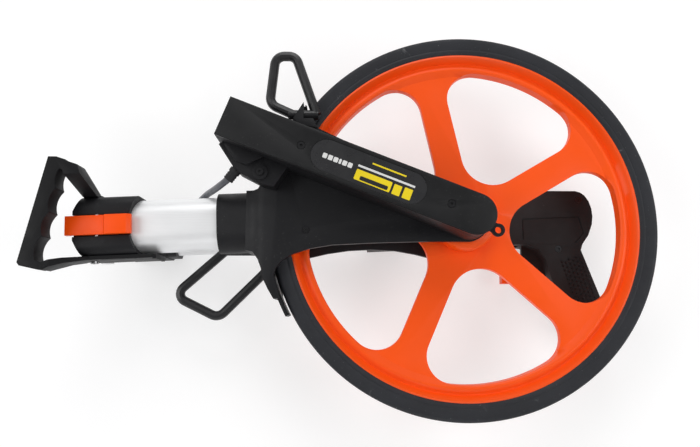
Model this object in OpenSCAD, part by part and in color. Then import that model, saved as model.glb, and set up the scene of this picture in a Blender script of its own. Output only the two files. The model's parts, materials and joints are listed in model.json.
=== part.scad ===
// Measuring wheel, folded: a one metre wheel in a fork, its counter on a long case
// beside the fork, and a two part pole that folds flat behind the wheel.
// The wheel's axle runs along Z and the pole along X.  Lengths are in millimetres.

/* [Wheel] */
// Outside diameter of the tyre, one metre of travel a turn
tyre_d = 318.3; // [312:0.1:320]
// Width of the tyre across its sides
tyre_w = 22; // [18:1:24]
// Outside diameter of the orange rim
rim_d = 288; // [284:1:292]
// Diameter over the outer ends of the windows
window_d = 261; // [255:1:264]
// Distance of each window's inner end from the axle
window_inner_r = 38.5; // [36:0.5:42]
// Width of one spoke
spoke_w = 23.6; // [18:0.1:28]
// Number of spokes
spokes = 5; // [5:1:5]
// Angle of the first window's middle
window_phase = 66.4; // [0:0.1:72]
// Diameter of the hub boss
hub_d = 47; // [44:1:50]

/* [Fork and case] */
// Half of the gap between the fork's two plates
fork_gap = 16.6; // [16.6:0.1:17.5]
// Height of the fork's front face above the wheel's middle plane
fork_front = 22; // [22:1:22]
// Angle of the counter case from the pole's far direction
case_angle = 158.5; // [156:0.5:160]
// Length of the counter case from the axle to its end
case_len = 207; // [206:1:210]
// Width of the counter case
case_w = 32; // [32:1:34]
// Height of the counter case's top face
case_top = 55; // [55:1:58]

/* [Pole] */
// Width of the lower oval tube
tube_w = 44; // [44:1:44]
// Thickness of the lower oval tube
tube_t = 30; // [28:1:30]
// Wall of the lower oval tube
tube_wall = 1.8; // [1.5:0.1:2.5]
// Angle between the pole and the line from the collar's middle to the axle
pole_tilt = 2.5; // [2:0.1:2.5]
// Width of the upper oval tube
upper_w = 38; // [36:1:38]
// Thickness of the upper oval tube
upper_t = 26; // [24:1:26]
// Distance of the folding pin from the axle, along the pole
fold_x = 303; // [303:1:303]
// Depth of the folding pin behind the wheel's middle plane
fold_z = 27; // [27:1:27]

/* [Stand legs] */
// Diameter of the bent rod of the stand legs
rod_d = 8; // [7:0.1:8]

/* [Hidden] */
$fn = 64;
// Place of the axle's middle in the finished frame: the ground is at zero height
hub_place = [92.8, 0, 71.5];
tyre_r = tyre_d / 2;
rim_r = rim_d / 2;
window_r = window_d / 2;
hub_r = hub_d / 2;
spoke_step = 360 / spokes;
// Rounding where a spoke meets the rim
outer_fillet = 22;
// The inner rounding touches both neighbouring spokes and the window's inner end
inner_fillet_x = (window_inner_r - spoke_w / 2) / (1 - sin(spoke_step / 2));
inner_fillet = inner_fillet_x - window_inner_r;
web_front = 2;
web_rear = -5;
axle_r = 3.95;
axle_bore = 4;
washer_t = 1.5;
nut_h = 5.1;
bearing_r = 11;
bearing_w = 7;
hub_front = 16;
hub_rear = -13;
stem_r = 7.6;
pulley_r = 9;
belt_z = 25;
belt_w = 6;
case_r = case_w / 2;
case_wall = 2;
case_lid_z = 51;
counter_x = 190;
drum_r = 10.5;
drum_w = 3.5;
drum_pitch = 3.65;
drum_z = 32.2;
shaft_r = 1.5;
cavity_r = 164.1;
fender_in = 161.5;
fender_out = 164;
collar_r = 17.5;
collar_half = 25;
collar_left = -201.5;
tube_end = -172;
tube_start = -308;
// The pole turns about this point of its own middle line
pole_turn = [-240, -2.1, 0];
tube_half = tube_w / 2;
tube_half_t = tube_t / 2;
upper_half = upper_w / 2;
upper_half_t = upper_t / 2;
upper_z = -2 * fold_z;
upper_wall = 1.5;
yoke_screw_y = [-8, 8];
lever_at = [-67, 27, upper_z];
inner_half = 17;
inner_half_t = 11;
pole_half_t = 17.5;
sleeve_left = -315;
sleeve_right = -264.5;
sleeve_half = 23.9;
sleeve_t = 20;
sleeve_hollow_r = 43.5;
ear_in = 20.8;
pin_r = 3;
pin_small = 1.5;
run_gap = 0.05;
rod_r = rod_d / 2;
latch_half = 7.7;
latch_pin_x = -296;
latch_pin_z = 18.4;
strip_t = 3;
strip_screw_x = -304.2;
grip_low = 28;
grip_high = 44;
finger_r = 17;
finger_off = 27;
leg_hinge_z = 17.5;
leg_hinge_y = 88;
rear_leg_y = -20;
rear_leg_z = -27;
trigger_at = [50, -6];
cable_r = 2.8;
grommet_at = [-250, -1.5, 0];
cable_rings = 48;
cable_sides = 10;
rod_sides = 12;
bend_steps = 7;
case_screws = [20, 142];
crown_screw_x = -168;
collar_screw_x = -187;
crown_screw_y = [14.8, -16.4];
lanyard_at = [-21, 3.8];

// Route of the control cable from the counter housing down behind the lower tube
cable_route = [
    [-184, 39, 31], [-190, 32, 30], [-198, 28, 22], [-206, 26, 10], [-214, 25, -4],
    [-224, 19.5, -16], [-236, 9, -22], [-246, 1.5, -23], [-250, -1.5, -19], [-250, -1.5, -11]
];

// Corners of the front leg's loop and the bend radius at each, from its hinge rod outwards
front_leg = [[-141, 88], [-160.5, 97], [-156.2, 138.5], [-139.5, 138.5], [-121.8, 88]];
front_bends = [0, 9, 8, 8, 0];

// Corners of the rear leg's loop and the bend radius at each
rear_leg = [[-201, -20], [-244, -58.3], [-205.6, -77.2], [-148.4, -20]];
rear_bends = [0, 7, 9, 0];

// ---- shared shapes ----

// Everything is drawn round the axle's middle and then set on the ground
module from_hub() { translate(hub_place) children(); }

// The counter case's own frame: X runs from the axle to the counter
module case_frame() { rotate([0, 0, case_angle]) children(); }

// The pole's own frame: X runs along its middle line, which is at Y zero
module pole_frame() translate(pole_turn) rotate([0, 0, pole_tilt])
    translate([-pole_turn[0], 0, 0]) children();

// A flat shape in Y and Z, drawn out along X
module along_x(from, to) {
    translate([from, 0, 0]) rotate([90, 0, 90]) linear_extrude(to - from) children();
}

// A flat shape in X and Z, drawn out along Y
module along_y(from, to) {
    translate([0, to, 0]) rotate([90, 0, 0]) linear_extrude(to - from) children();
}

// A flat shape in X and Y, drawn out along Z
module along_z(from, to) { translate([0, 0, from]) linear_extrude(to - from) children(); }

module rod_z(r, from, to) { translate([0, 0, from]) cylinder(r = r, h = to - from); }
module rod_y(r, from, to) { translate([0, from, 0]) rotate([-90, 0, 0]) cylinder(r = r, h = to - from); }
module rod_x(r, from, to) { translate([from, 0, 0]) rotate([0, 90, 0]) cylinder(r = r, h = to - from); }

// An oval with flat long sides, centred
module oval(half_w, r) {
    square([2 * (half_w - r), 2 * r], center = true);
    for (side = [-1, 1]) translate([side * (half_w - r), 0]) circle(r);
}

// A rectangle with round corners, from one corner to the other
module round_rect(x0, y0, x1, y1, r) {
    translate([x0 + r, y0]) square([x1 - x0 - 2 * r, y1 - y0]);
    translate([x0, y0 + r]) square([x1 - x0, y1 - y0 - 2 * r]);
    for (x = [x0 + r, x1 - r], y = [y0 + r, y1 - r]) translate([x, y]) circle(r);
}

function arc(at, r, a0, a1, steps) =
    [for (i = [0:steps]) at + r * [cos(a0 + (a1 - a0) * i / steps), sin(a0 + (a1 - a0) * i / steps)]];

// A hexagon-socket button screw standing on z = 0 and pointing down
module screw(head_r, head_h, shank_r, length) {
    difference() {
        union() {
            cylinder(r = head_r, h = head_h);
            rod_z(shank_r, -length, 0.1);
        }
        translate([0, 0, head_h * 0.35]) cylinder(r = head_r * 0.45, h = head_h, $fn = 6);
    }
}

// ---- smooth tube along a route ----

function blend_point(p, i, t) =
    let (last = len(p) - 1,
         a = p[max(i - 1, 0)], b = p[i], c = p[min(i + 1, last)], d = p[min(i + 2, last)])
    0.5 * (2 * b + (c - a) * t + (2 * a - 5 * b + 4 * c - d) * t * t
        + (3 * b - 3 * c + d - a) * t * t * t);
function route_point(p, s) =
    let (x = s * (len(p) - 1), i = min(floor(x), len(p) - 2)) blend_point(p, i, x - i);
function unit(v) = v / norm(v);
function path_dir(p, i) =
    let (last = len(p) - 1)
    i == 0 ? unit(p[1] - p[0]) : i == last ? unit(p[last] - p[last - 1])
        : unit(unit(p[i + 1] - p[i]) + unit(p[i] - p[i - 1]));

// A round tube with one ring at each point of a path; no stretch of it may run along up
module swept_tube(path, r, sides, up) {
    rings = len(path) - 1;
    points = [for (k = [0:rings])
        let (dir = path_dir(path, k), u = unit(cross(dir, up)), v = cross(dir, u))
        for (j = [0:sides - 1]) let (a = 360 * j / sides) path[k] + r * (cos(a) * u + sin(a) * v)];
    walls = [for (k = [0:rings - 1], j = [0:sides - 1]) let (n = (j + 1) % sides)
        each [[k * sides + j, (k + 1) * sides + n, k * sides + n],
              [k * sides + j, (k + 1) * sides + j, (k + 1) * sides + n]]];
    caps = [[for (j = [0:sides - 1]) j], [for (j = [sides - 1:-1:0]) rings * sides + j]];
    polyhedron(points, concat(walls, caps), convexity = 6);
}

// ---- wheel ----

module tyre() color([0.07, 0.075, 0.085]) from_hub()
    rotate_extrude($fn = 180) polygon([
        [rim_r, -9.5], [rim_r + 2, -tyre_w / 2], [tyre_r - 4, -tyre_w / 2], [tyre_r - 1.3, -9.4],
        [tyre_r, -7], [tyre_r, 7], [tyre_r - 1.3, 9.4], [tyre_r - 4, tyre_w / 2],
        [rim_r + 2, tyre_w / 2], [rim_r, 9.5], [rim_r - 3, 7], [rim_r - 3, -7]
    ]);

// One window between two spokes, its middle on the X axis
module window_2d() {
    half_step = spoke_step / 2;
    c = window_r - outer_fillet;
    lean = half_step - asin((spoke_w / 2 + outer_fillet) / c);
    side = half_step + 90;
    corner = c * [cos(lean), sin(lean)];
    polygon(concat(
        arc([0, 0], window_r, -lean, lean, 14),
        arc(corner, outer_fillet, lean, side, 14),
        arc([inner_fillet_x, 0], inner_fillet, side, 360 - side, 14),
        arc([corner[0], -corner[1]], outer_fillet, -side, -lean, 14)
    ));
}

module rim_profile() polygon([
    [window_r - 3, web_rear], [window_r - 3, web_front], [window_r + 1.5, 4.6], [window_r + 4, 5.2],
    [window_r + 6, 3], [window_r + 8, 3], [window_r + 10.5, 8.6], [window_r + 12, 10],
    [rim_r, 9.5], [rim_r - 3, 7], [rim_r - 3, -7], [rim_r, -9.5], [window_r + 12, -10],
    [window_r + 9, -7], [window_r + 3, -6.5]
]);

module wheel() color([1, 0.35, 0.12]) from_hub() difference() {
    union() {
        rotate_extrude($fn = 180) rim_profile();
        rod_z(window_r + 1, web_rear, web_front, $fn = 120);
        rod_z(hub_r, hub_rear, hub_front - 1.5);
        translate([0, 0, hub_front - 1.5]) cylinder(r1 = hub_r, r2 = hub_r - 1.5, h = 1.5);
    }
    for (i = [0:spokes - 1])
        rotate([0, 0, window_phase + i * spoke_step]) along_z(web_rear - 4, web_front + 4) window_2d();
    rod_z(bearing_r - 3, hub_rear - 1, hub_front + 1);
    rod_z(bearing_r, hub_rear - 1, hub_rear + bearing_w);
    rod_z(bearing_r, hub_front - 3 - bearing_w, hub_front);
    rod_z(15.1, hub_front - 3, hub_front + 1);
}

module bearing(z) difference() {
    union() {
        difference() {
            rod_z(bearing_r, z, z + bearing_w);
            rod_z(bearing_r - 1.6, z - 1, z + bearing_w + 1);
        }
        rod_z(bearing_r - 1.5, z + 0.8, z + bearing_w - 0.8);
        rod_z(6, z, z + bearing_w);
    }
    rod_z(axle_bore, z - 1, z + bearing_w + 1);
}

module hub_bearing_front() color("silver") from_hub() bearing(hub_front - 3 - bearing_w);
module hub_bearing_rear() color("silver") from_hub() bearing(hub_rear);

module toothed_disc(r, z, h, teeth) difference() {
    rod_z(r, z, z + h);
    for (i = [0:teeth - 1]) rotate([0, 0, i * 360 / teeth]) translate([r + 0.2, 0, 0])
        rod_z(0.8, z - 1, z + h + 1, $fn = 16);
}

module drive_pulley() color([0.85, 0.85, 0.83]) from_hub() difference() {
    union() {
        rod_z(15, hub_front - 3, hub_front);
        rod_z(stem_r, hub_front, belt_z);
        toothed_disc(pulley_r, belt_z, belt_w, 18);
    }
    rod_z(axle_bore + 1, hub_front - 4, belt_z + belt_w + 1);
}

module axle() color("silver") from_hub() {
    rod_z(axle_r, -31, 49.5);
    rod_z(7, -fork_front - washer_t, -fork_front);
}

module axle_nut() color([0.55, 0.56, 0.58]) from_hub() difference() {
    translate([0, 0, -fork_front - washer_t - nut_h]) cylinder(r = 7.4, h = nut_h, $fn = 6);
    rod_z(axle_r, -31, -23);
}

// ---- fork and crown ----

// The crown's side outline, from the collar to the tips beside the tyre
crown_low = [
    [-178, -23.8], [-172, -25.1], [-167.5, -31.5], [-164.8, -38.5], [-163.4, -46], [-159, -55],
    [-154.5, -62.5], [-150, -62]
];
crown_high = [
    [-150, 66], [-156.5, 52], [-162, 38.5], [-165.5, 29.8], [-168.5, 25.4], [-172, 24.3], [-178, 24.3]
];
crown_slope = [[-180, collar_r], [-175, 18.1], [-171, 19.4], [-167, 21.2], [-163, fork_front]];
front_edge = [
    [-150.5, -57], [-154.6, -43.5], [-152.8, -38], [-149, -33], [-140.3, -27.4], [-126.9, -23],
    [-108.7, -19.9], [-75, -18.2], [-35.6, -17.1], [0, -17]
];
front_top = [[9.2, 14.3], [-120.7, 75.6], [-131.8, 98.2], [-140.5, 84.1]];
rear_edge = [
    [-150.5, -57], [-154.6, -43.5], [-148, -36], [-138, -30], [-126.9, -26.4], [-113, -23.2],
    [-95, -20.5], [-76.3, -19.5], [-55, -20.6], [-38, -23.6], [-25, -27], [0, -28]
];
rear_top = [[0, 28], [-25, 24], [-50, 16.5], [-76, 14.5], [-110, 17], [-132, 26], [-142, 40], [-143, 60]];

module front_outline() {
    polygon(concat(crown_low, front_edge, front_top, crown_high));
    circle(17);
}
module rear_outline() {
    polygon(concat(crown_low, rear_edge, rear_top, crown_high));
    circle(28);
}

// Side view of the front half: the collar's height rises to the crown's
module crown_ramp() along_y(-110, 110)
    polygon(concat([[-190, 0], [-190, collar_r]], crown_slope, [[40, fork_front], [40, 0]]));

module collar_half_shape(x0, x1) pole_frame() along_x(x0, x1) intersection() {
    oval(collar_half, collar_r);
    translate([-collar_half - 1, 0]) square([2 * collar_half + 2, collar_r + 1]);
}

module crown_cuts() {
    // Room for the wheel, the tube and the brake shoe
    rod_z(cavity_r, -fork_gap, fork_gap, $fn = 180);
    pole_frame() along_x(collar_left - 1, tube_end) oval(tube_half, tube_half_t);
    translate([-170, -12.5, -9]) cube([10, 25, 18]);
    for (y = crown_screw_y) translate([crown_screw_x, y, 0]) {
        rod_z(1.5, -30, 18);
        rod_z(3.2, -30, -fork_front + 2);
    }
}

module crown_front() color([0.05, 0.05, 0.055]) from_hub() difference() {
    union() {
        intersection() {
            along_z(0, fork_front) front_outline();
            crown_ramp();
        }
        collar_half_shape(collar_left, -174);
        // Boss that carries the front leg's hinge rod
        along_z(12.2, 23.2) polygon([[-131.8, 98.2], [-140.5, 84.1], [-137, 79], [-120.7, 75.6]]);
    }
    crown_cuts_front();
}

module crown_cuts_front() {
    difference() {
        crown_cuts();
        along_z(12, 20) polygon([[-133, 100], [-142, 84], [-138, 77.6], [-119.5, 74.8]]);
    }
    rod_z(9.6, 0, 30);
    translate([0, leg_hinge_y, leg_hinge_z]) rod_x(rod_r + run_gap, -150, -110);
    // Room for the leg's inner run
    translate([-132.4, 83.5, 10]) cube([23, 26, 20]);
    translate([-129.6, -8.1, 0]) rod_z(1.6, 10, 30);
}

module crown_rear() color([0.05, 0.05, 0.055]) from_hub() difference() {
    union() {
        intersection() {
            along_z(-fork_front, 0) rear_outline();
            mirror([0, 0, 1]) crown_ramp();
        }
        mirror([0, 0, 1]) collar_half_shape(collar_left, -174);
        // Stiffening rib along the rear plate
        translate([0, 0, -24.5]) linear_extrude(3) polygon([
            [-150, -6], [-150, 6], [-26, 6], [-26, 3], [-144, 3], [-144, -3], [-26, -3], [-26, -6]
        ]);
    }
    crown_cuts();
    rod_z(axle_bore, -30, 0);
    pole_frame() translate([collar_screw_x, 0, 0]) rod_z(1.8, -30, 0);
}

module fender() color([0.09, 0.09, 0.1]) from_hub() difference() {
    intersection() {
        rod_z(fender_out, -fork_gap + 0.1, fork_gap - 0.1, $fn = 180);
        along_z(-20, 20) polygon(concat([[0, 0]], arc([0, 0], 220, 143.5, 207.7, 12)));
    }
    rod_z(fender_in, -20, 20, $fn = 180);
    translate([-170, -12.5, -9]) cube([12, 25, 18]);
    along_z(11.9, 20) polygon([[-133.5, 101], [-143, 84], [-139, 76.6], [-118.5, 74]]);
}

module crown_screws() color([0.3, 0.3, 0.32]) from_hub() {
    for (y = crown_screw_y)
        translate([crown_screw_x, y, -fork_front + 2]) mirror([0, 0, 1]) screw(3, 1.8, 1.5, 36);
    translate([-129.6, -8.1, fork_front]) screw(2.4, 0.8, 1.6, 5);
    pole_frame() translate([collar_screw_x, 0, -collar_r]) mirror([0, 0, 1]) screw(3.2, 1.8, 1.8, 4);
}

// ---- counter case ----

module arm_case() color([0.05, 0.05, 0.055]) from_hub() case_frame() difference() {
    union() {
        along_z(fork_front, case_lid_z) {
            circle(case_r);
            translate([0, -case_r]) square([case_len, case_w]);
        }
        along_z(43.5, 46.5) {
            translate(lanyard_at) circle(5);
            polygon([[-14, -1], [-21, -0.5], [-21, 8], [-14, 6.5]]);
        }
    }
    difference() {
        case_room();
        for (x = case_screws) translate([x, 0, 0]) rod_z(4, fork_front, case_lid_z + 1);
        translate([counter_x, 0, 0]) rod_z(3.5, fork_front, belt_z - 0.3);
    }
    translate([lanyard_at[0], lanyard_at[1], 0]) rod_z(2.6, 40, 50);
    rod_z(pulley_r + 0.8, fork_front - 1, 30);
    for (x = case_screws) translate([x, 0, 0]) rod_z(1.5, 36, 60);
    translate([counter_x, 0, 0]) rod_z(shaft_r, fork_front - 1, 30);
    // Counter window opening and the slot that holds its pane
    translate([case_len - 5, -10.5, 32]) cube([8, 21, 17]);
    translate([case_len - 3, -12, 30]) cube([2, 24, 30]);
}

module case_room() along_z(fork_front + case_wall, case_lid_z + 1) {
    circle(case_r - case_wall);
    translate([0, -case_r + case_wall]) square([case_len - 4, case_w - 2 * case_wall]);
}

module arm_cover() color([0.055, 0.055, 0.06]) from_hub() case_frame() difference() {
    union() {
        along_z(case_lid_z, case_top - 0.8) {
            circle(case_r);
            translate([0, -case_r]) square([case_len, case_w]);
        }
        along_z(case_top - 0.8, case_top) {
            circle(case_r - 0.6);
            translate([0, -case_r + 0.6]) square([case_len - 0.6, case_w - 1.2]);
        }
        rod_z(6.5, belt_z + belt_w + 1.5, case_lid_z);
    }
    rod_z(axle_bore, 30, 50);
    label_outline(case_top - 0.8, case_top + 1, 12.6);
    for (x = case_screws) translate([x, 0, 0]) {
        rod_z(1.6, 40, 60);
        rod_z(3.2, case_top - 1.8, 60);
    }
    translate([counter_x, 0, 0]) rod_z(shaft_r, 40, case_lid_z + 2);
}

module label_outline(z0, z1, r) along_z(z0, z1) {
    translate([53, -r]) square([68, 2 * r]);
    translate([53, 0]) circle(r);
    translate([121, 0]) circle(r);
}

module label_plate() color([0.1, 0.1, 0.1]) from_hub() case_frame()
    label_outline(case_top - 0.8, case_top - 0.3, 12.4);

module cover_screws() color([0.12, 0.12, 0.13]) from_hub() case_frame()
    for (x = case_screws) translate([x, 0, case_top - 1.8]) screw(2.9, 1.6, 1.5, 14);

module counter_bracket() color([0.05, 0.05, 0.055]) from_hub() case_frame() difference() {
    union() {
        along_z(fork_front, 38) polygon([
            [203, case_r], [205, 19], [189, 30.4], [181, 34], [161, 36], [152, 34.5], [148, case_r]
        ]);
        along_z(38, 41) polygon([[200, case_r], [200, 18], [187, 27], [178, 27], [168, case_r]]);
        translate([166, 28, 0]) rod_z(6, 36, 40);
    }
    translate([166, 28, 0]) rod_z(1.6, 30, 50);
    // Socket of the cable's boot
    translate([185.6, 31.4, 31]) rotate([0, 90, 72.7]) cylinder(r = cable_r + 0.2, h = 16, center = true);
}

module bracket_screw() color([0.3, 0.3, 0.32]) from_hub() case_frame()
    translate([166, 28, 40]) screw(2.8, 1.4, 1.6, 9);

module counter_window() color([0.7, 0.75, 0.8, 0.4]) from_hub() case_frame()
    translate([case_len - 3, -12, 30]) cube([2, 24, case_lid_z - 30]);

module counter_shaft() color("silver") from_hub() case_frame()
    translate([counter_x, 0, 0]) rod_z(shaft_r, fork_front + 0.5, case_lid_z + 1.5);

module counter_pulley() color([0.85, 0.85, 0.83]) from_hub() case_frame() translate([counter_x, 0, 0])
    difference() {
        union() {
            toothed_disc(pulley_r, belt_z, belt_w, 18);
            rod_z(4, belt_z, drum_z);
        }
        rod_z(shaft_r + run_gap, belt_z - 1, drum_z + 1);
    }

// One number drum, with ten raised bars in place of its figures
module drum(index) from_hub() case_frame() translate([counter_x, 0, drum_z + index * drum_pitch]) {
    difference() {
        cylinder(r = drum_r - 0.3, h = drum_w);
        rod_z(shaft_r + run_gap, -1, drum_w + 1);
    }
    for (i = [0:9]) rotate([0, 0, 36 * i]) translate([drum_r - 0.8, -0.6, 0.7]) cube([0.8, 1.2, drum_w - 1.4]);
}
module drum_1() color([0.85, 0.2, 0.1]) drum(0);
module drum_2() color([0.93, 0.93, 0.9]) drum(1);
module drum_3() color([0.93, 0.93, 0.9]) drum(2);
module drum_4() color([0.93, 0.93, 0.9]) drum(3);
module drum_5() color([0.93, 0.93, 0.9]) drum(4);

module reset_bar() color([0.8, 0.8, 0.78]) from_hub() case_frame() difference() {
    translate([169, -6, 32.2]) cube([6, 12, 18]);
    for (i = [0:4]) translate([173.4, -7, drum_z + i * drum_pitch + 0.4]) cube([3, 14, drum_w - 0.8]);
}

module belt() color([0.12, 0.12, 0.12]) from_hub() case_frame() along_z(belt_z + 0.4, belt_z + belt_w - 0.4)
    difference() {
        belt_loop(pulley_r + 1.6);
        belt_loop(pulley_r + 0.25);
    }

module belt_loop(r) {
    circle(r);
    translate([0, -r]) square([counter_x, 2 * r]);
    translate([counter_x, 0]) circle(r);
}

// ---- brake and cable ----

module brake_shoe() color([0.16, 0.16, 0.17]) from_hub() difference() {
    translate([-169.5, -12, -8.5]) cube([9.5, 24, 17]);
    rod_z(161.2, -20, 20, $fn = 180);
}

module brake_cable() color([0.62, 0.63, 0.66]) from_hub() swept_tube(
    [for (k = [0:cable_rings]) route_point(cable_route, k / cable_rings)],
    cable_r, cable_sides, [0.35, -0.9, 0.2]);

module cable_boot() color([0.06, 0.06, 0.065]) from_hub() case_frame() translate([185.6, 31.4, 31])
    rotate([0, 96, 72.7]) difference() {
        union() {
            translate([0, 0, 0.5]) cylinder(r = 4.6, h = 3.4);
            cylinder(r = 3.9, h = 11);
            for (z = [5.5, 7.5, 9.5]) translate([0, 0, z]) cylinder(r = 4.2, h = 1);
        }
        translate([0, 0, -1]) cylinder(r = cable_r + 0.3, h = 14);
    }

module cable_grommet() color([0.07, 0.07, 0.075]) from_hub() translate(grommet_at) difference() {
    union() {
        rod_z(5.6, -tube_half_t - 2, -tube_half_t);
        rod_z(4.2, -tube_half_t, -tube_half_t + 2.6);
    }
    rod_z(cable_r + 0.3, -30, 0);
}

// ---- pole and folding joint ----

module oval_tube(x0, x1, half_w, half_t, wall) along_x(x0, x1) difference() {
    oval(half_w, half_t);
    oval(half_w - wall, half_t - wall);
}

module lower_tube() color([0.87, 0.88, 0.9]) from_hub() difference() {
    pole_frame() oval_tube(tube_start, tube_end, tube_half, tube_half_t, tube_wall);
    translate(grommet_at) rod_z(4.2, -20, 0);
    pole_frame() {
        translate([collar_screw_x, 0, 0]) rod_z(1.8, -20, 0);
        translate([strip_screw_x, 0, 0]) rod_y(1.6, -30, 0);
    }
}

module sleeve_plan() polygon([
    [-308.7, sleeve_half], [sleeve_left, 12], [sleeve_left, -11.5], [-309, -sleeve_half],
    [sleeve_right, -sleeve_half], [sleeve_right, sleeve_half]
]);

module joint_sleeve() color([0.05, 0.05, 0.055]) from_hub() pole_frame() difference() {
    union() {
        intersection() {
            along_z(-sleeve_t, sleeve_t) sleeve_plan();
            along_x(sleeve_left, sleeve_right) round_rect(-sleeve_half, -sleeve_t, sleeve_half, sleeve_t, 8);
        }
        ear(-sleeve_half, -ear_in);
        ear(ear_in, sleeve_half);
    }
    along_x(tube_start, sleeve_right + 1) oval(tube_half, tube_half_t);
    // Hollowed edge towards the tube
    translate([sleeve_right - 6.5 + sleeve_hollow_r, 0, 0]) rod_z(sleeve_hollow_r, -30, 30, $fn = 120);
    // Room for the yoke's knuckle, and the pin's hole
    translate([-fold_x, 0, -fold_z]) {
        rod_y(9.6, -ear_in, ear_in);
        rod_y(pin_r, -40, 40);
    }
    // Channel of the latch
    translate([sleeve_left - 1, -latch_half - 1, 16.4]) cube([60, 2 * latch_half + 2, 10]);
    translate([latch_pin_x, 0, latch_pin_z]) rod_y(pin_small, -15, 15);
    translate([strip_screw_x, 0, 0]) rod_y(1.6, -30, 0);
}

// Side plate that holds the folding pin
module ear(y0, y1) along_y(y0, y1) {
    translate([-fold_x, -fold_z]) circle(9);
    polygon([[sleeve_left + 0.6, -12], [-fold_x - 9, -fold_z], [-fold_x + 9, -fold_z], [-284, -12]]);
}

// ---- carrying handle ----

grip_out = [[-324.7, 51.3], [-346.2, -29.5]];
grip_tilt = atan2(grip_out[1][1] - grip_out[0][1], grip_out[1][0] - grip_out[0][0]);
strip_y = -sleeve_half - strip_t;

module carry_handle() color([0.05, 0.05, 0.055]) from_hub() pole_frame() {
    difference() {
        along_z(grip_low, grip_high) polygon([
            grip_out[0], grip_out[1], [-344.5, -32], [-331, -35.6], [-332.5, -27.6], [-314.8, 39.5],
            [-311.5, 48.4], [-318.5, 51]
        ]);
        // Four finger hollows along the inner side
        for (i = [0:3]) translate(finger_at(i)) rod_z(finger_r, 0, 60);
    }
    // Upper corner and the bar that slopes down to the sleeve
    intersection() {
        along_z(0, grip_high) polygon([
            [-319, 50.4], [-302.4, 44.2], [-296.5, 23.7], [-308, 23.7], [-314, 41], [-320, 42]
        ]);
        along_x(-330, -290) polygon([
            [sleeve_half + 0.05, 2], [sleeve_half + 0.05, 17], [37, grip_high], [52, grip_high],
            [52, grip_low], [44, grip_low]
        ]);
    }
    translate([-310, sleeve_half + 0.05, -11]) cube([15, 1.6, 21]);
    // Lower corner and the thin bar that slopes down into the strip beside the sleeve
    intersection() {
        along_z(0, grip_high) polygon([
            [-336, -34], [-327.5, -36], [-316, -30.5], [-303, strip_y + 0.1], [-303, -23.95], [-317, -26.4],
            [-328.5, -30], [-337, -27]
        ]);
        along_y(-40, -20) polygon([
            [-338, grip_high], [-323, grip_high], [-303, 16], [-303, 4], [-309, 4], [-327, grip_low],
            [-338, grip_low]
        ]);
    }
    difference() {
        translate([-311, strip_y, -14]) cube([61, strip_t - 0.05, 30]);
        translate([strip_screw_x, 0, 0]) rod_y(1.6, strip_y - 1, 0);
    }
    translate([-253, strip_y - 0.9, -13]) cube([2.6, strip_t, 28]);
}

function finger_at(i) =
    let (t = 0.16 + 0.225 * i, p = grip_out[0] + (grip_out[1] - grip_out[0]) * t)
    [p[0] + finger_off * cos(grip_tilt + 90), p[1] + finger_off * sin(grip_tilt + 90), 0];

module strip_screw() color([0.6, 0.61, 0.63]) from_hub() pole_frame() translate([strip_screw_x, strip_y, 0])
    rotate([90, 0, 0]) screw(3.3, 1.9, 1.6, 6);

// ---- folding pin, latch ----

module hinge_pin() color([0.6, 0.61, 0.63]) from_hub() pole_frame() translate([-fold_x, 0, -fold_z]) {
    rod_y(pin_r, -sleeve_half - 1, sleeve_half + 3.4);
    rod_y(5.4, -sleeve_half - 2.4, -sleeve_half);
}

module hinge_nut() color([0.3, 0.3, 0.32]) from_hub() pole_frame() translate([-fold_x, 0, -fold_z])
    difference() {
        translate([0, sleeve_half, 0]) rotate([-90, 0, 0]) cylinder(r = 5.2, h = 3, $fn = 6);
        rod_y(pin_r, 20, 30);
    }

module latch() color([1, 0.27, 0.02]) from_hub() pole_frame() difference() {
    along_y(-latch_half, latch_half) polygon([
        [-319.8, 18.3], [-319.8, 23], [-289.5, 23], [-288, 25.2], [-271, 25.2], [-268, 23], [-268, 19.6],
        [-288, 18.6], [-292, 17.2], [-300, 17.2], [-304, 19.6], [-315.8, 19.6], [-315.8, 18.3]
    ]);
    translate([latch_pin_x, 0, latch_pin_z]) rod_y(pin_small + run_gap, -40, 40);
}

module latch_pin() color("silver") from_hub() pole_frame() translate([latch_pin_x, 0, latch_pin_z])
    rod_y(pin_small, -14.5, 14.5);

module latch_spring() color("silver") from_hub() pole_frame() translate([-279, 0, 0]) difference() {
    rod_z(2.6, 16.4, 17.5);
    rod_z(1.9, 16, 19);
}

// ---- stand legs ----

function run_dir(p, i) = atan2(p[i + 1][1] - p[i][1], p[i + 1][0] - p[i][0]);
function turn(p, i) = let (t = run_dir(p, i) - run_dir(p, i - 1)) t > 180 ? t - 360 : t < -180 ? t + 360 : t;
function setback(p, bends, i) =
    i == 0 || i == len(p) - 1 ? 0 : bends[i] * tan(abs(turn(p, i)) / 2);

function bend_points(p, bends, i) =
    let (t = turn(p, i), dir = run_dir(p, i - 1), side = sign(t),
         start = p[i] - setback(p, bends, i) * [cos(dir), sin(dir)],
         centre = start + bends[i] * side * [-sin(dir), cos(dir)])
    [for (at = arc(centre, bends[i], dir - 90 * side, dir - 90 * side + t, bend_steps)) [at[0], at[1], 0]];

// A round rod in one plane: straight runs joined by bends
module bent_rod(p, bends, r) {
    last = len(p) - 1;
    swept_tube([
        [p[0][0], p[0][1], 0],
        for (i = [1:last - 1]) each bend_points(p, bends, i),
        [p[last][0], p[last][1], 0]
    ], r, rod_sides, [0, 0, 1]);
}

module stand_leg_front() color([0.05, 0.05, 0.055]) from_hub() translate([0, 0, leg_hinge_z]) {
    bent_rod(front_leg, front_bends, rod_r);
    translate([0, leg_hinge_y, 0]) rod_x(rod_r, -145, -120.5);
}

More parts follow.
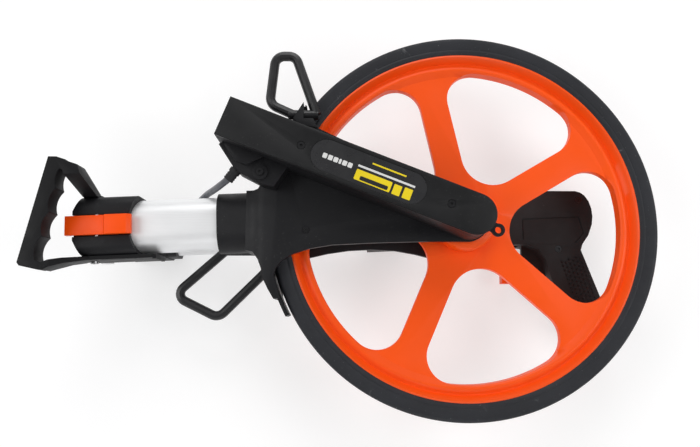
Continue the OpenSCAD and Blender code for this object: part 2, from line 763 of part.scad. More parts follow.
module stand_leg_rear() color([0.05, 0.05, 0.055]) from_hub() translate([0, 0, rear_leg_z]) {
    bent_rod(rear_leg, rear_bends, rod_r);
    translate([0, rear_leg_y, 0]) rod_x(rod_r, -204, -145);
}

module leg_clip() color([0.06, 0.06, 0.065]) from_hub() difference() {
    along_y(rear_leg_y - 6.5, rear_leg_y + 6.5) polygon([
        [-172, rear_leg_z - 6], [-164, rear_leg_z - 6], [-164, -21.8], [-167, -21.2], [-171, -19.4],
        [-172, -19.075]
    ]);
    translate([0, rear_leg_y, rear_leg_z]) rod_x(rod_r + run_gap, -180, -140);
    // Pocket over the head of the crown screw
    translate([crown_screw_x, crown_screw_y[1], 0]) rod_z(3.3, -24, -17);
}

// ---- upper pole ----

module hinge_yoke() color([0.05, 0.05, 0.055]) from_hub() pole_frame() difference() {
    union() {
        translate([-fold_x, 0, -fold_z]) rod_y(9, -ear_in + 0.3, ear_in - 0.3);
        along_y(-15, 15) polygon([
            [-fold_x, -33.5], [-fold_x, -21], [-294, -21], [-284, -30], [-274, -37], [-290.5, -38],
            [-290.5, -33.5]
        ]);
        along_x(-290.5, -256) translate([0, upper_z]) round_rect(-22, -pole_half_t, 22, pole_half_t, 7);
        along_x(-256, -248) translate([0, upper_z]) round_rect(-21, -15.5, 21, 15.5, 7);
    }
    along_x(-283, -240) translate([0, upper_z]) oval(upper_half, upper_half_t);
    translate([-fold_x, 0, -fold_z]) rod_y(pin_r + run_gap, -40, 40);
    // Pocket for the latch's claw
    translate([-292, -latch_half - 1, upper_z - pole_half_t - 1]) cube([6.5, 2 * latch_half + 2, 4]);
    yoke_screw_holes();
}

module yoke_screw_holes() for (y = yoke_screw_y) translate([-270, y, 0]) rod_z(1.6, -80, -60);

module yoke_screws() color([0.3, 0.3, 0.32]) from_hub() pole_frame() for (y = yoke_screw_y)
    translate([-270, y, upper_z - pole_half_t + 1.6]) mirror([0, 0, 1]) difference() {
        rod_z(1.6, -4, 1.2);
        translate([0, 0, 0.4]) cylinder(r = 0.8, h = 2, $fn = 6);
    }

module upper_tube() color([0.87, 0.88, 0.9]) from_hub() pole_frame() difference() {
    translate([0, 0, upper_z]) oval_tube(-283, -62, upper_half, upper_half_t, upper_wall);
    yoke_screw_holes();
}

module lock_collar() color([0.05, 0.05, 0.055]) from_hub() pole_frame() difference() {
    union() {
        along_x(-78, -44) translate([0, upper_z]) round_rect(-22, -pole_half_t, 22, pole_half_t, 8);
        translate([0, 22, upper_z]) for (z = [-9, 5]) along_x(-74, -60) translate([0, z]) square([9, 4]);
    }
    along_x(-79, -62) translate([0, upper_z]) oval(upper_half, upper_half_t);
    along_x(-63, -40) translate([0, upper_z]) oval(inner_half + 0.1, inner_half_t + 0.1);
    translate(lever_at) rod_z(pin_small, -12, 12);
}

module lock_lever() color([1, 0.27, 0.02]) from_hub() pole_frame() translate(lever_at) difference() {
    union() {
        rod_z(4, -4.7, 4.7);
        translate([-2, -1.5, -4.7]) cube([40, 5, 9.4]);
    }
    rod_z(pin_small + run_gap, -10, 10);
}

module lever_pin() color("silver") from_hub() pole_frame() translate(lever_at) rod_z(pin_small, -9, 9);

module inner_tube() color([0.87, 0.88, 0.9]) from_hub() difference() {
    pole_frame() translate([0, 0, upper_z]) oval_tube(-262, 66, inner_half, inner_half_t, upper_wall);
    // Slot for the trigger's root
    translate([41, -12, upper_z - 6.5]) cube([26, 20, 13]);
    translate([trigger_at[0], trigger_at[1], 0]) rod_z(pin_small, upper_z - 12, upper_z + 12);
}

// ---- pistol grip ----

grip_body = [
    [44, 35.9], [109, 35.9], [113.6, 34.6], [117.2, 32], [120.8, 26.8], [123, 20], [123.6, 13], [122.7, 5.7],
    [119, -4.2], [113.4, -12]
];
grip_stock = [
    [111.6, -17.4], [126.6, -59.1], [133.5, -84], [132.5, -90], [126, -93.5], [108, -91], [101, -88],
    [84, -42], [80, -26], [74, -17], [64, -12.5], [44, -12.5]
];

module grip_outline() polygon(concat(grip_body, grip_stock));

module grip_half_shape(z0, z1) difference() {
    union() {
        along_z(z0, z1) grip_outline();
        // Thin guard web in front of the stock
        along_z(z0 < upper_z ? upper_z - 3 : upper_z, z0 < upper_z ? upper_z : upper_z + 3)
            polygon([[63, -11], [63, -32], [68, -39], [86, -40], [80, -11]]);
    }
    grip_rooms();
}

// Inside of the grip: the tube's seat, the trigger's slot and the button's hole
module grip_rooms() {
    pole_frame() along_x(30, 66) translate([0, upper_z]) oval(inner_half, inner_half_t);
    translate([66, -6, upper_z - 9]) cube([50, 34, 18]);
    translate([43, -14, upper_z - 6]) cube([17, 12.5, 12]);
    translate([110, 18, upper_z]) rod_x(5.1, 0, 20);
    translate([trigger_at[0], trigger_at[1], 0]) rod_z(1.5, upper_z - 12, upper_z + 12);
    for (p = [[91.7, -16.3], [112, 28], [112, -70]]) translate(p) rod_z(1.4, upper_z - 16, upper_z + 30);
}

module grip_front() color([0.055, 0.055, 0.06]) from_hub() difference() {
    grip_half_shape(upper_z, upper_z + pole_half_t);
    // Panel line pressed into the side
    panel_line(upper_z + pole_half_t - 0.8, upper_z + pole_half_t + 1);
    for (p = [[91.7, -16.3], [112, 28], [112, -70]]) translate(p) rod_z(3, upper_z + 15.8, upper_z + 30);
}

module panel_line(z0, z1) along_z(z0, z1) polygon([
    [60, -8.3], [60, 10.6], [111.2, 12.8], [115.2, -2.4], [107.2, -11.5],
    [106, -11.5], [114, -2.2], [110.4, 11.8], [61, 9.6], [61, -8.3]
]);

module grip_rear() color([0.055, 0.055, 0.06]) from_hub() grip_half_shape(upper_z - pole_half_t, upper_z);

module grip_nose() color([0.055, 0.055, 0.06]) from_hub() difference() {
    union() {
        along_x(36, 44) translate([0, upper_z]) round_rect(-12.5, -pole_half_t + 1, 34, pole_half_t - 1, 8);
        along_x(30, 36) translate([0, upper_z]) round_rect(-9.5, -14, 30.5, 14, 7);
    }
    pole_frame() along_x(28, 46) translate([0, upper_z]) oval(inner_half, inner_half_t);
    // Room for the trigger's swing
    translate([41, -16, upper_z - 6]) cube([6, 12, 12]);
}

module grip_butt() color([0.07, 0.07, 0.075]) from_hub() along_z(upper_z - 14, upper_z + 14)
    polygon([
        [133.6, -84.4], [134.2, -90.4], [127, -95.6], [108, -93], [108, -91.1], [126, -93.6], [132.6, -90.1]
    ]);

module grip_screws() color([0.3, 0.3, 0.32]) from_hub() for (p = [[91.7, -16.3], [112, 28], [112, -70]])
    translate([p[0], p[1], upper_z + 15.8]) screw(2.8, 1.5, 1.4, 28);

module trigger() color([1, 0.27, 0.02]) from_hub() difference() {
    union() {
        translate([trigger_at[0], trigger_at[1], 0]) rod_z(4, upper_z - 5, upper_z + 5);
        along_z(upper_z - 5, upper_z + 5) polygon([
            [46, -6], [54, -6], [54.5, -18], [53, -34], [52, -46.5], [43.4, -46.5], [43.6, -36], [46, -20]
        ]);
    }
    translate([trigger_at[0], trigger_at[1], 0]) rod_z(1.5 + run_gap, upper_z - 12, upper_z + 12);
}

module trigger_pin() color("silver") from_hub()
    translate([trigger_at[0], trigger_at[1], 0]) rod_z(1.5, upper_z - 11.5, upper_z + 11.5);

module reset_button() color([1, 0.27, 0.02]) from_hub() translate([0, 18, upper_z]) {
    rod_x(5, 117, 124.2);
    rod_x(6.5, 113.5, 115.5);
    rod_x(3, 115, 118);
}

tyre();
wheel();
hub_bearing_front();
hub_bearing_rear();
drive_pulley();
axle();
axle_nut();
crown_front();
crown_rear();
fender();
crown_screws();
arm_case();
arm_cover();
cover_screws();
label_plate();
counter_bracket();
bracket_screw();
counter_window();
counter_shaft();
counter_pulley();
drum_1();
drum_2();
drum_3();
drum_4();
drum_5();
reset_bar();
belt();
brake_shoe();
brake_cable();
cable_boot();
cable_grommet();
lower_tube();
joint_sleeve();
carry_handle();
strip_screw();
hinge_pin();
hinge_nut();
latch();
latch_pin();
latch_spring();
stand_leg_front();
stand_leg_rear();
leg_clip();
hinge_yoke();
yoke_screws();
upper_tube();
lock_collar();
lock_lever();
lever_pin();
inner_tube();
grip_front();
grip_rear();
grip_nose();
grip_butt();
grip_screws();
trigger();
trigger_pin();
reset_button();
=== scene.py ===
import json
import math

import bmesh
import bpy
from mathutils import Matrix, Vector


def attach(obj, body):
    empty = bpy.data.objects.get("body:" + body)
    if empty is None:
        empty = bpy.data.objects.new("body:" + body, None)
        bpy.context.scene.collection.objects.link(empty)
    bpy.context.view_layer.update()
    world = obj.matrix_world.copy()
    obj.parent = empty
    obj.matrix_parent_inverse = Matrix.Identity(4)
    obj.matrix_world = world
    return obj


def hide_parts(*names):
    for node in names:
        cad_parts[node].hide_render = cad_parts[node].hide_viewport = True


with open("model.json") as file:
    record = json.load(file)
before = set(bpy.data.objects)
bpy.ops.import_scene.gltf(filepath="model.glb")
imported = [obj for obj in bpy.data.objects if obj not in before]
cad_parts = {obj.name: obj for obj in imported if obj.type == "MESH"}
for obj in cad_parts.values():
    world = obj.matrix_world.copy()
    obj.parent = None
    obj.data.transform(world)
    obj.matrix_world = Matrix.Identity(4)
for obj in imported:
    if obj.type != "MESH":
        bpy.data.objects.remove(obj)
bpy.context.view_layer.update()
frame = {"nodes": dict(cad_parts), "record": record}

NODES = frame["nodes"]
BODY_OF = {n: b for b, names in frame["record"]["behaviour"]["bodies"].items() for n in names}
MM = 0.001
HUB = Vector((0.0928, 0.0, 0.0715))          # middle of the wheel, in the row frame


def at(x, y, z=0.0):
    """A point given in millimetres from the middle of the wheel."""
    return HUB + Vector((x, y, z)) * MM


# ---- camera ----

def make_camera():
    data = bpy.data.cameras.new("camera")
    camera = bpy.data.objects.new("camera", data)
    bpy.context.scene.collection.objects.link(camera)
    right = Vector((0.99985, 0.0, 0.01748))
    up = Vector((-0.00259, 0.98894, 0.14826))
    back = Vector((-0.01729, -0.14829, 0.98879))
    turn = Matrix((right, up, back)).transposed().to_4x4()
    camera.matrix_world = Matrix.Translation((-0.01060, -0.07970, 0.60552)) @ turn
    data.sensor_width = 36.0
    data.lens = 33.43
    data.clip_start, data.clip_end = 0.01, 20.0
    bpy.context.scene.camera = camera


make_camera()

# ---- materials ----

class Tree:
    """Short names for the nodes of one procedural material."""

    def __init__(self, name, base, rough, metal=0.0, **sockets):
        self.mat = bpy.data.materials.new(name)
        self.mat.use_nodes = True
        self.t = self.mat.node_tree
        self.shader = self.t.nodes["Principled BSDF"]
        self.set("Base Color", (*base, 1.0))
        self.set("Roughness", rough)
        self.set("Metallic", metal)
        for key, value in sockets.items():
            self.set(key.replace("_", " "), value)
        self.coords = self.t.nodes.new("ShaderNodeTexCoord").outputs["Object"]
        self.height = None

    def set(self, name, value):
        self.shader.inputs[name].default_value = value

    def join(self, source, target):
        self.t.links.new(source, target)

    def stretched(self, scale):
        n = self.t.nodes.new("ShaderNodeMapping")
        n.inputs["Scale"].default_value = scale
        self.join(self.coords, n.inputs["Vector"])
        return n.outputs["Vector"]

    def noise(self, scale, detail=3.0, rough=0.5, coords=None, distortion=0.0):
        n = self.t.nodes.new("ShaderNodeTexNoise")
        n.inputs["Scale"].default_value = scale
        n.inputs["Detail"].default_value = detail
        n.inputs["Roughness"].default_value = rough
        n.inputs["Distortion"].default_value = distortion
        self.join(coords or self.coords, n.inputs["Vector"])
        return n.outputs["Fac"]

    def cells(self, scale, coords=None):
        n = self.t.nodes.new("ShaderNodeTexVoronoi")
        n.inputs["Scale"].default_value = scale
        self.join(coords or self.coords, n.inputs["Vector"])
        return n.outputs["Distance"]

    def ramp(self, fac, low, high, v0=0.0, v1=1.0):
        n = self.t.nodes.new("ShaderNodeMapRange")
        for key, value in (("From Min", low), ("From Max", high), ("To Min", v0), ("To Max", v1)):
            n.inputs[key].default_value = value
        self.join(fac, n.inputs["Value"])
        return n.outputs["Result"]

    def times(self, a, b):
        n = self.t.nodes.new("ShaderNodeMath")
        n.operation = "MULTIPLY"
        self.join(a, n.inputs[0])
        if isinstance(b, float):
            n.inputs[1].default_value = b
        else:
            self.join(b, n.inputs[1])
        return n.outputs["Value"]

    def mix(self, fac, a, b):
        n = self.t.nodes.new("ShaderNodeMix")
        n.data_type = "RGBA"
        self.join(fac, n.inputs[0])
        for value, socket in ((a, n.inputs[6]), (b, n.inputs[7])):
            if isinstance(value, tuple):
                socket.default_value = (*value, 1.0)
            else:
                self.join(value, socket)
        return n.outputs[2]

    def color(self, out):
        self.join(out, self.shader.inputs["Base Color"])

    def rough(self, out):
        self.join(out, self.shader.inputs["Roughness"])

    def bump(self, out, strength, distance):
        n = self.t.nodes.new("ShaderNodeBump")
        n.inputs["Strength"].default_value = strength
        n.inputs["Distance"].default_value = distance
        self.join(out, n.inputs["Height"])
        if self.height is not None:
            self.join(self.height, n.inputs["Normal"])
        self.height = n.outputs["Normal"]
        self.join(self.height, self.shader.inputs["Normal"])


def shade(c, k):
    return tuple(v * k for v in c)


def moulded(name, base, rough, grain=0.25, spread=0.18, dust=0.0, **sockets):
    """Moulded plastic: a fine spark texture, slow colour drift, and a little dust."""
    m = Tree(name, base, rough, **sockets)
    drift = m.ramp(m.noise(14.0, 4.0), 0.3, 0.7)
    tone = m.mix(drift, shade(base, 1 - spread), shade(base, 1 + spread))
    if dust:
        patches = m.ramp(m.noise(30.0, 3.0), 0.45, 0.7, 0.0, dust)
        specks = m.times(m.ramp(m.noise(420.0, 6.0, 0.7), 0.60, 0.72), patches)
        tone = m.mix(specks, tone, (0.42, 0.41, 0.39))
    m.color(tone)
    m.rough(m.ramp(m.noise(90.0, 5.0, 0.6), 0.3, 0.7, rough - 0.06, rough + 0.08))
    m.bump(m.cells(1900.0), grain, 0.00012)
    m.bump(m.noise(120.0, 3.0), 0.12, 0.0003)
    return m.mat


def rubber(name, base, rough, dust):
    """Rubber with fine grain, pale scuffs along the running direction and specks of dust."""
    m = Tree(name, base, rough, Specular_IOR_Level=0.38)
    drift = m.ramp(m.noise(22.0, 5.0, 0.6), 0.3, 0.7)
    tone = m.mix(drift, shade(base, 0.78), shade(base, 1.28))
    streaks = m.ramp(m.noise(60.0, 8.0, 0.72, distortion=1.4), 0.60, 0.70)
    scuff = m.times(streaks, m.ramp(m.noise(11.0, 2.0), 0.5, 0.66, 0.0, dust))
    tone = m.mix(scuff, tone, (0.30, 0.30, 0.31))
    specks = m.ramp(m.noise(700.0, 3.0, 0.6), 0.70, 0.76, 0.0, dust)
    m.color(m.mix(specks, tone, (0.38, 0.38, 0.38)))
    m.rough(m.ramp(m.noise(70.0, 6.0, 0.65), 0.3, 0.7, rough - 0.08, min(rough + 0.1, 1.0)))
    m.bump(m.noise(1300.0, 4.0, 0.6), 0.25, 0.00015)
    m.bump(m.noise(160.0, 5.0, 0.6), 0.18, 0.0003)
    return m.mat


def drawn_metal(name, base, rough, along=(1.0, 60.0, 60.0), bright=0.06, **sockets):
    """Metal with fine drawing lines along one direction."""
    m = Tree(name, base, rough, 1.0, **sockets)
    lines = m.noise(38.0, 5.0, 0.65, m.stretched(along))
    m.color(m.mix(m.ramp(lines, 0.3, 0.7), shade(base, 1 - bright), shade(base, 1.0)))
    m.rough(m.ramp(m.noise(24.0, 4.0), 0.3, 0.7, rough - 0.05, rough + 0.07))
    m.bump(lines, 0.06, 0.0001)
    return m.mat


def coated_rod(name, base, rough):
    """Powder coated steel with an orange peel surface and small worn specks."""
    m = Tree(name, base, rough)
    patches = m.ramp(m.noise(26.0, 2.0), 0.5, 0.65, 0.0, 0.5)
    worn = m.times(m.ramp(m.noise(260.0, 6.0, 0.7), 0.66, 0.72), patches)
    m.color(m.mix(worn, base, (0.16, 0.16, 0.17)))
    m.rough(m.ramp(m.noise(90.0, 4.0), 0.3, 0.7, rough - 0.06, rough + 0.08))
    m.bump(m.noise(620.0, 2.0), 0.3, 0.0002)
    return m.mat


BLACK = (0.0082, 0.0082, 0.0098)
ORANGE = (0.98, 0.092, 0.004)
SIGNAL = (0.98, 0.085, 0.0015)
STEEL = (0.62, 0.62, 0.63)
MATERIALS = {
    "black": moulded("black_plastic", BLACK, 0.5, grain=0.3, dust=0.12, Specular_IOR_Level=0.28),
    "cover": moulded("cover_plastic", (0.0082, 0.0083, 0.0092), 0.44, grain=0.2, dust=0.16,
                     Specular_IOR_Level=0.3),
    "handle": moulded("handle_plastic", (0.0078, 0.0078, 0.0088), 0.52, grain=0.25, dust=0.06,
                      Specular_IOR_Level=0.2),
    "grip": moulded("grip_rubber", (0.0135, 0.0137, 0.0148), 0.6, grain=0.4, dust=0.06,
                    Specular_IOR_Level=0.3),
    "orange": moulded("wheel_plastic", ORANGE, 0.4, grain=0.06, spread=0.035, Specular_IOR_Level=0.3),
    "signal": moulded("signal_plastic", SIGNAL, 0.38, grain=0.05, spread=0.05,
                      Specular_IOR_Level=0.25),
    "tyre": rubber("tyre_rubber", (0.0160, 0.0168, 0.0212), 0.60, 0.40),
    "soft": rubber("soft_rubber", (0.016, 0.016, 0.018), 0.6, 0.2),
    "belt": rubber("belt_rubber", (0.02, 0.02, 0.02), 0.7, 0.1),
    "white": moulded("white_plastic", (0.74, 0.73, 0.69), 0.4, grain=0.05, spread=0.03),
    "red": moulded("red_plastic", (0.62, 0.03, 0.015), 0.38, grain=0.05, spread=0.05),
    "film": moulded("label_film", (0.022, 0.022, 0.024), 0.28, grain=0.1, dust=0.2),
    "yellow": moulded("label_yellow", (0.86, 0.66, 0.01), 0.38, grain=0.08, spread=0.05),
    "pale": moulded("label_white", (0.74, 0.74, 0.73), 0.38, grain=0.08, spread=0.05),
    "alu": drawn_metal("anodised_tube", (0.93, 0.935, 0.945), 0.46, Metallic=0.5),
    "steel": drawn_metal("bright_steel", STEEL, 0.28, (30.0, 30.0, 2.0)),
    "dark_steel": drawn_metal("black_oxide_steel", (0.055, 0.055, 0.058), 0.36, (20.0, 20.0, 20.0), 0.3),
    "zinc": drawn_metal("zinc_steel", (0.46, 0.47, 0.49), 0.38, (20.0, 20.0, 20.0), 0.15),
    "rod": coated_rod("coated_rod", (0.0115, 0.0115, 0.013), 0.36),
}


def cable_material():
    """Grey cable sheath with the faint wrap of the wire under it."""
    m = Tree("cable_sheath", (0.10, 0.105, 0.12), 0.34)
    m.color(m.mix(m.ramp(m.noise(180.0, 4.0), 0.3, 0.7), (0.085, 0.09, 0.105), (0.13, 0.135, 0.15)))
    m.bump(m.noise(900.0, 3.0), 0.15, 0.0002)
    return m.mat


def pane_material():
    m = Tree("clear_pane", (0.92, 0.95, 0.97), 0.06, Transmission_Weight=1.0, IOR=1.49)
    m.rough(m.ramp(m.noise(300.0, 5.0), 0.3, 0.7, 0.03, 0.12))
    m.bump(m.noise(90.0, 2.0), 0.05, 0.0002)
    return m.mat


MATERIALS["cable"] = cable_material()
MATERIALS["pane"] = pane_material()

USE = {
    "black": "crown_front crown_rear arm_case counter_bracket joint_sleeve hinge_yoke"
             " lock_collar fender grip_nose",
    "cover": "arm_cover", "handle": "carry_handle", "grip": "grip_front grip_rear grip_butt",
    "orange": "wheel", "signal": "latch lock_lever trigger reset_button", "tyre": "tyre",
    "soft": "cable_boot cable_grommet leg_clip brake_shoe", "belt": "belt",
    "white": "drive_pulley counter_pulley drum_2 drum_3 drum_4 drum_5 reset_bar", "red": "drum_1",
    "film": "label_plate", "alu": "lower_tube upper_tube inner_tube",
    "steel": "hub_bearing_front hub_bearing_rear axle counter_shaft strip_screw hinge_pin"
             " latch_pin lever_pin trigger_pin latch_spring",
    "dark_steel": "crown_screws cover_screws bracket_screw yoke_screws grip_screws hinge_nut",
    "zinc": "axle_nut", "rod": "stand_leg_front stand_leg_rear",
    "cable": "brake_cable", "pane": "counter_window",
}
MATERIAL_OF = {n: MATERIALS[m] for m, names in USE.items() for n in names.split()}


def paint(obj, material):
    obj.data.materials.clear()
    obj.data.materials.append(material)


for name, node in NODES.items():
    paint(node, MATERIAL_OF[name])


# ---- softened copies of the moulded CAD parts ----

GRIP_TOP, GRIP_BOTTOM = -36.5, -71.5        # the grip halves' outer faces, from the wheel's middle
PANEL_LINE_DEPTH = 0.8                      # of the line pressed into the upper face
WEB_FRONT, WEB_REAR = 2.0, -5.0             # the wheel's spoked web

def new_piece(name, mesh, body, slot, material, *replaced):
    piece = bpy.data.objects.new(name, mesh)
    bpy.context.scene.collection.objects.link(piece)
    paint(piece, material)
    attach(piece, body)
    if replaced:
        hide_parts(*replaced)
    return piece


def finish_mesh(bm, mesh, sharp=38.0):
    bmesh.ops.recalc_face_normals(bm, faces=bm.faces)
    for face in bm.faces:
        face.smooth = True
    bm.to_mesh(mesh)
    bm.free()
    mesh.set_sharp_from_angle(angle=math.radians(sharp))


def softened(name, width, segments=3, angle=28.0, pick=None):
    """A copy of a CAD part with its sharp edges rounded, as a mould leaves them."""
    node = NODES[name]
    bm = bmesh.new()
    bm.from_mesh(node.data)
    bmesh.ops.remove_doubles(bm, verts=bm.verts, dist=2e-6)
    bmesh.ops.dissolve_limit(bm, angle_limit=math.radians(1.0), verts=bm.verts, edges=bm.edges)
    limit = math.radians(angle)
    edges = [e for e in bm.edges if len(e.link_faces) == 2 and e.calc_face_angle(0.0) > limit]
    if pick:
        edges = [e for e in edges if pick(*[(v.co - HUB) / MM for v in e.verts])]
    bmesh.ops.bevel(bm, geom=edges, offset=width * MM, offset_type="OFFSET", segments=segments,
                    profile=0.5, affect="EDGES", clamp_overlap=True, loop_slide=True)
    mesh = bpy.data.meshes.new(name + "_soft")
    finish_mesh(bm, mesh)
    return new_piece(name + "_soft", mesh, BODY_OF[name], name, MATERIAL_OF[name], name)


SOFT = {
    "arm_cover": 0.5, "arm_case": 0.6, "crown_front": 0.8, "crown_rear": 0.8, "fender": 0.4,
    "counter_bracket": 0.8, "joint_sleeve": 0.9, "carry_handle": 1.3, "hinge_yoke": 0.9, "lock_collar": 0.9,
    "grip_nose": 1.0, "latch": 0.8, "lock_lever": 0.7, "trigger": 1.2, "leg_clip": 0.6,
}
for name, width in SOFT.items():
    softened(name, width)


def outline_edge(a, b):
    """Edges round a grip half's outer face, with those of its panel line."""
    on_face = GRIP_TOP - PANEL_LINE_DEPTH - 0.3 < a.z < GRIP_TOP + 0.1 or abs(a.z - GRIP_BOTTOM) < 0.6
    return abs(a.z - b.z) < 0.01 and on_face and min(a.x, b.x) > 44.5


for name in ("grip_front", "grip_rear"):
    softened(name, 4.5, segments=4, pick=outline_edge)


def window_edge(a, b):
    """Rim edges of the wheel's five windows, on its front and rear faces."""
    flat = abs(a.z - b.z) < 0.02 and min(abs(a.z - WEB_FRONT), abs(a.z - WEB_REAR)) < 0.4
    return flat and 40.0 < Vector((a.x, a.y)).length < 130.0


softened("wheel", 1.6, pick=window_edge)


# ---- plain bars on the label ----

CASE_TURN = Matrix.Rotation(math.radians(158.5), 4, "Z")


def on_case(u, v, z):
    """A point of the counter case: u from the axle along the case, v across it."""
    return at(*(CASE_TURN @ Vector((u, v, z))))


def label_block(name, low, high, cut, z0, z1, material):
    """A thin block on the case's label, between two corners, with its own corners cut."""
    (u0, v0), (u1, v1) = low, high
    corners = [(u0 + cut, v0), (u1 - cut, v0), (u1, v0 + cut), (u1, v1 - cut),
               (u1 - cut, v1), (u0 + cut, v1), (u0, v1 - cut), (u0, v0 + cut)]
    bm = bmesh.new()
    face = bm.faces.new([bm.verts.new(on_case(u, v, z0)) for u, v in corners])
    grown = bmesh.ops.extrude_face_region(bm, geom=[face])["geom"]
    raised = [v for v in grown if isinstance(v, bmesh.types.BMVert)]
    bmesh.ops.translate(bm, vec=(0.0, 0.0, (z1 - z0) * MM), verts=raised)
    mesh = bpy.data.meshes.new(name)
    finish_mesh(bm, mesh)
    new_piece(name, mesh, "frame", "label_plate", MATERIALS[material])


FILM_TOP = 54.7
BLOCK_LOW, BLOCK_HIGH = FILM_TOP - 0.04, FILM_TOP + 0.1
MARK_SPANS = ((120.6, 124.0), (116.0, 119.6), (111.6, 115.2), (108.9, 110.8), (104.4, 108.0), (100.0, 103.6))
for k, (u0, u1) in enumerate(MARK_SPANS):
    label_block(f"label_mark_{k}", (u0, -1.3), (u1, 2.6), 0.5, BLOCK_LOW, BLOCK_HIGH, "pale")
label_block("label_yellow_block", (67.0, 1.1), (95.8, 9.4), 0.5, BLOCK_LOW, BLOCK_HIGH, "yellow")
label_block("label_dark_bar", (69.0, 5.3), (91.5, 8.5), 0.5, FILM_TOP + 0.08, FILM_TOP + 0.16, "film")
LINES = (((50.0, -2.5), (96.0, -0.9), "pale"), ((59.0, -7.6), (86.5, -6.4), "yellow"),
         ((59.0, 1.5), (65.2, 9.5), "yellow"), ((50.5, 1.0), (57.0, 9.5), "yellow"))
for k, (low, high, kind) in enumerate(LINES):
    label_block(f"label_line_{k}", low, high, 0.3, BLOCK_LOW, BLOCK_HIGH, kind)


# ---- brake cable ----

CABLE_D = 5.6
CABLE_STEPS = 96
# The cable's route from its boot down into the lower pole
CABLE = [
    (-184, 39, 31), (-190, 32, 30), (-198, 28, 22), (-206, 26, 10), (-214, 25, -4),
    (-224, 19.5, -16), (-236, 9, -22), (-246, 1.5, -23), (-250, -1.5, -19), (-250, -1.5, -11),
]


def spline_point(points, t):
    """A point of a smooth curve through the given ones, t from 0 to 1."""
    k = min(int(t * (len(points) - 1)), len(points) - 2)
    f = t * (len(points) - 1) - k
    a, b, c, d = (Vector(points[min(max(k + o, 0), len(points) - 1)]) for o in (-1, 0, 1, 2))
    square, cube = 2 * a - 5 * b + 4 * c - d, 3 * b - a - 3 * c + d
    return 0.5 * (2 * b + (c - a) * f + square * f ** 2 + cube * f ** 3)


def make_cable():
    line = [at(*spline_point(CABLE, i / CABLE_STEPS)) for i in range(CABLE_STEPS + 1)]
    data = bpy.data.curves.new("cable_line", "CURVE")
    data.dimensions = "3D"
    data.bevel_depth = CABLE_D / 2 * MM
    data.bevel_resolution = 8
    data.use_fill_caps = True
    spline = data.splines.new("POLY")
    spline.points.add(len(line) - 1)
    for point, place in zip(spline.points, line):
        point.co = (*place, 1.0)
    spline.use_smooth = True
    piece = bpy.data.objects.new("brake_cable_run", data)
    bpy.context.scene.collection.objects.link(piece)
    paint(piece, MATERIALS["cable"])
    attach(piece, "frame")
    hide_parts("brake_cable")


make_cable()

# ---- moulded texture of the grip ----

def stock_texture():
    """Raised diamonds on the grip stock's upper side, in rows along it."""
    a, b = Vector((101.0, -20.0)), Vector((120.5, -82.0))
    run = (b - a).normalized()
    side = Vector((-run.y, run.x))
    rows, columns, row_step, column_step = 15, 6, 4.0, 3.4
    half_long, half_wide, height, taper = 1.9, 1.6, 1.1, 0.3
    bm = bmesh.new()
    for row in range(rows):
        for col in range(columns):
            u = 5.0 + row * row_step + (row_step / 2 if col % 2 else 0.0)
            v = -9.0 + col * column_step
            mid = a + run * u + side * v
            long, wide = run * half_long, side * half_wide
            ring = [mid + long, mid + wide, mid - long, mid - wide]
            low = [bm.verts.new(at(q.x, q.y, GRIP_TOP - 0.1)) for q in ring]
            high = [bm.verts.new(at(*(mid + (q - mid) * taper), GRIP_TOP + height)) for q in ring]
            bm.faces.new(high)
            for i in range(4):
                bm.faces.new((low[i], low[(i + 1) % 4], high[(i + 1) % 4], high[i]))
            bm.faces.new(list(reversed(low)))
    mesh = bpy.data.meshes.new("stock_texture")
    finish_mesh(bm, mesh, 20.0)
    new_piece("stock_texture", mesh, "grip_pole", "grip_front", MATERIALS["grip"])


stock_texture()


# ---- tyre ----

def make_tyre():
    """The tyre as a lathe, with round shoulders and three fine grooves in its running face."""
    outer, inner, half = 159.15, 144.0, 11.0
    round_r = 3.4
    edge = half - round_r
    face = [(outer, -edge)]
    for groove in (-4.2, 0.0, 4.2):
        face += [(outer, groove - 0.8), (outer - 0.5, groove - 0.6), (outer - 0.9, groove),
                 (outer - 0.5, groove + 0.6), (outer, groove + 0.8)]
    face.append((outer, edge))
    angles = [math.radians(t) for t in range(12, 91, 13)]
    shoulder = [(outer - round_r + round_r * math.cos(t), edge + round_r * math.sin(t)) for t in angles]
    side = [(outer - round_r, half), (inner + 5.0, half), (inner + 4.4, half - 0.35), (inner + 3.8, half),
            (inner + 2.6, half - 0.05), (inner + 1.0, 10.3), (inner, 9.5), (inner - 3.0, 7.0)]
    ring = face + shoulder + side + [(r, -z) for r, z in reversed(shoulder + side)]
    turns = 256
    bm = bmesh.new()
    loops = []
    for k in range(turns):
        c, d = math.cos(2 * math.pi * k / turns), math.sin(2 * math.pi * k / turns)
        loops.append([bm.verts.new(at(r * c, r * d, z)) for r, z in ring])
    for k in range(turns):
        a, b = loops[k], loops[(k + 1) % turns]
        for i in range(len(ring)):
            n = (i + 1) % len(ring)
            bm.faces.new((a[i], b[i], b[n], a[n]))
    mesh = bpy.data.meshes.new("tyre_lathe")
    finish_mesh(bm, mesh, 50.0)
    new_piece("tyre_lathe", mesh, "road_wheel", "tyre", MATERIALS["tyre"], "tyre")


make_tyre()

# ---- floor and light ----

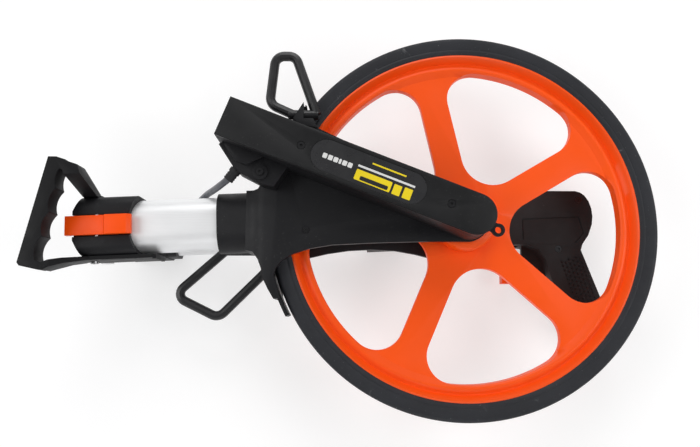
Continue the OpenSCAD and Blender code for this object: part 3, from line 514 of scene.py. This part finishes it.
def make_stage():
    mesh = bpy.data.meshes.new("floor")
    bm = bmesh.new()
    bmesh.ops.create_grid(bm, x_segments=1, y_segments=1, size=6.0)
    bm.to_mesh(mesh)
    bm.free()
    floor = bpy.data.objects.new("floor", mesh)
    bpy.context.scene.collection.objects.link(floor)
    m = Tree("floor_white", (0.5, 0.5, 0.5), 0.6, Emission_Color=(1.0, 1.0, 1.0, 1.0),
             Emission_Strength=0.56)
    m.color(m.mix(m.ramp(m.noise(3.0, 3.0), 0.3, 0.7), (0.47, 0.47, 0.475), (0.5, 0.5, 0.5)))
    paint(floor, m.mat)
    world = bpy.data.worlds.new("studio")
    world.use_nodes = True
    tree = world.node_tree
    studio = tree.nodes["Background"]
    studio.inputs["Color"].default_value = (1.0, 1.0, 1.0, 1.0)
    studio.inputs["Strength"].default_value = 0.27
    backdrop = tree.nodes.new("ShaderNodeBackground")
    backdrop.inputs["Color"].default_value = (0.93, 0.93, 0.93, 1.0)
    backdrop.inputs["Strength"].default_value = 1.0
    seen = tree.nodes.new("ShaderNodeLightPath")
    blend = tree.nodes.new("ShaderNodeMixShader")
    tree.links.new(seen.outputs["Is Camera Ray"], blend.inputs["Fac"])
    tree.links.new(studio.outputs["Background"], blend.inputs[1])
    tree.links.new(backdrop.outputs["Background"], blend.inputs[2])
    tree.links.new(blend.outputs["Shader"], tree.nodes["World Output"].inputs["Surface"])
    bpy.context.scene.world = world


def area_light(name, place, target, size, power):
    data = bpy.data.lights.new(name, "AREA")
    data.shape = "RECTANGLE"
    data.size, data.size_y = size
    data.energy = power
    light = bpy.data.objects.new(name, data)
    light.location = place
    light.rotation_mode = "QUATERNION"
    light.rotation_quaternion = (Vector(target) - Vector(place)).to_track_quat("-Z", "Y")
    bpy.context.scene.collection.objects.link(light)


make_stage()
for name, place, power in (
        ("left_box", (-1.5, 0.1, 1.35), 13.0), ("right_box", (1.5, 0.0, 1.35), 12.0),
        ("back_box", (0.0, 1.6, 1.25), 15.0), ("front_box", (0.2, -1.7, 1.1), 9.0)):
    area_light(name, place, (0.0, 0.0, 0.02), (1.1, 1.1), power)
bpy.context.scene.view_settings.view_transform = "Standard"
